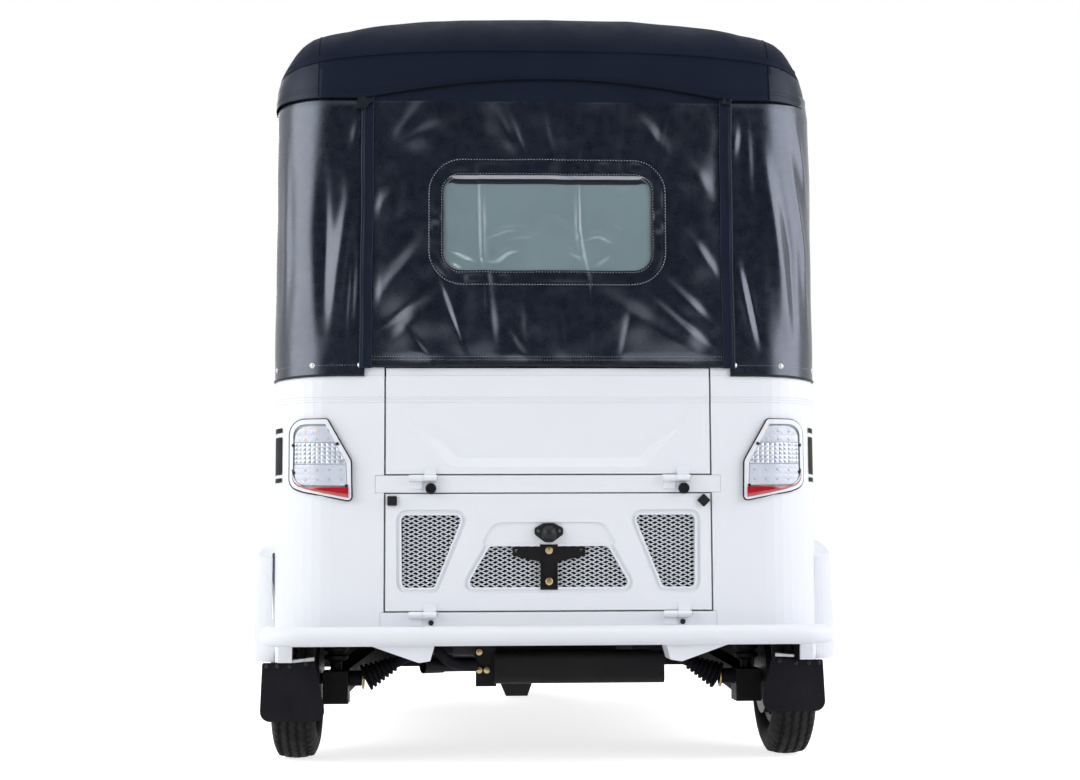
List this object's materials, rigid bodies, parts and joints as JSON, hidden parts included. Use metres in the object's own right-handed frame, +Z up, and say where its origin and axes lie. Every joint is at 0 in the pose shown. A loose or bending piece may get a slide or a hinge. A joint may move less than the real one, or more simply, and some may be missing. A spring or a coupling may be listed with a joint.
{
  "type": "auto rickshaw",
  "caption": "Passenger auto rickshaw with a vinyl hood, open sides, a tailgate over a meshed engine door, a tube bumper and a raked front fork; wheels roll, fork steers, doors open.",
  "frame": {"origin": "on the ground, at the middle of the overall length and width", "axes": "+X forward, +Y to the left, +Z up"},
  "size_m": [2.655, 1.384, 1.7893],
  "materials": {
    "alloy": "matte",
    "black_plastic": "matte",
    "body_paint": "gloss",
    "clear_vinyl": "gloss",
    "dark_paint": "satin",
    "glass": "gloss",
    "grey_paint": "satin",
    "hood_vinyl": "semi-gloss",
    "lens": "gloss",
    "red_lens": "gloss",
    "rubber": "matte",
    "seat_cover": "satin",
    "tyre": "matte",
    "wheel_paint": "satin"
  },
  "bodies": {
    "body": {"floor_pan": "grey_paint", "chassis_rails": "dark_paint", "front_cowl": "body_paint", "front_wheel_well": "grey_paint", "toe_board": "grey_paint", "dashboard": "black_plastic", "windscreen_frame": "dark_paint", "windscreen_glass": "glass", "wiper": "black_plastic", "front_lamps": "lens", "mirrors": "black_plastic", "driver_seat_base": "grey_paint", "driver_seat": "seat_cover", "partition": "grey_paint", "seat_box": "grey_paint", "passenger_cushion": "seat_cover", "passenger_backrest": "seat_cover", "quarter_panel_left": "body_paint", "quarter_panel_right": "body_paint", "rear_frame": "body_paint", "hinge_leaves": "body_paint", "door_buffers": "rubber", "fenders": "body_paint", "wheel_arches": "dark_paint", "rear_bumper": "body_paint", "tail_lamp_housings": "body_paint", "tail_lamp_lenses": "lens", "tail_reflectors": "red_lens", "mudflaps": "rubber", "hood_frame": "dark_paint", "hood_roof": "hood_vinyl", "hood_quarters": "hood_vinyl", "rear_curtain": "hood_vinyl", "rear_window": "clear_vinyl", "engine": "alloy", "muffler": "dark_paint", "exhaust_pipe": "dark_paint", "trailing_arms": "dark_paint", "rear_dampers": "dark_paint", "drive_shafts": "rubber", "fuel_cap": "black_plastic"},
    "tailgate": {"tailgate": "body_paint", "tailgate_knuckles": "body_paint"},
    "engine_door": {"engine_door": "body_paint", "engine_door_mesh": "body_paint", "plate_bracket": "dark_paint", "plate_lamp": "black_plastic", "door_latches": "black_plastic", "engine_door_knuckles": "body_paint"},
    "steering": {"fork": "dark_paint", "handlebar": "black_plastic", "front_mudguard": "body_paint"},
    "front_wheel": {"front_rim": "wheel_paint", "front_tyre": "tyre"},
    "rear_left_wheel": {"rear_left_rim": "wheel_paint", "rear_left_tyre": "tyre"},
    "rear_right_wheel": {"rear_right_rim": "wheel_paint", "rear_right_tyre": "tyre"}
  },
  "joints": [
    {"name": "steering_turn", "type": "hinge", "parent": "body", "child": "steering", "pos_m": [1.1075, 0, 0.192], "axis": [-0.3746, 0, 0.9272], "range_deg": [-40, 40]},
    {"name": "front_wheel_spin", "type": "hinge", "parent": "steering", "child": "front_wheel", "pos_m": [1.1075, 0, 0.192], "axis": [0, 1, 0], "continuous": true},
    {"name": "rear_left_wheel_spin", "type": "hinge", "parent": "body", "child": "rear_left_wheel", "pos_m": [-0.8925, 0.6035, 0.192], "axis": [0, 1, 0], "continuous": true},
    {"name": "rear_right_wheel_spin", "type": "hinge", "parent": "body", "child": "rear_right_wheel", "pos_m": [-0.8925, -0.6035, 0.192], "axis": [0, 1, 0], "continuous": true},
    {"name": "tailgate_hinge", "type": "hinge", "parent": "body", "child": "tailgate", "pos_m": [-1.2505, 0, 0.67], "axis": [0, -1, 0], "range_deg": [0, 150]},
    {"name": "engine_door_hinge", "type": "hinge", "parent": "body", "child": "engine_door", "pos_m": [-1.2505, 0, 0.357], "axis": [0, -1, 0], "range_deg": [0, 110]}
  ]
}
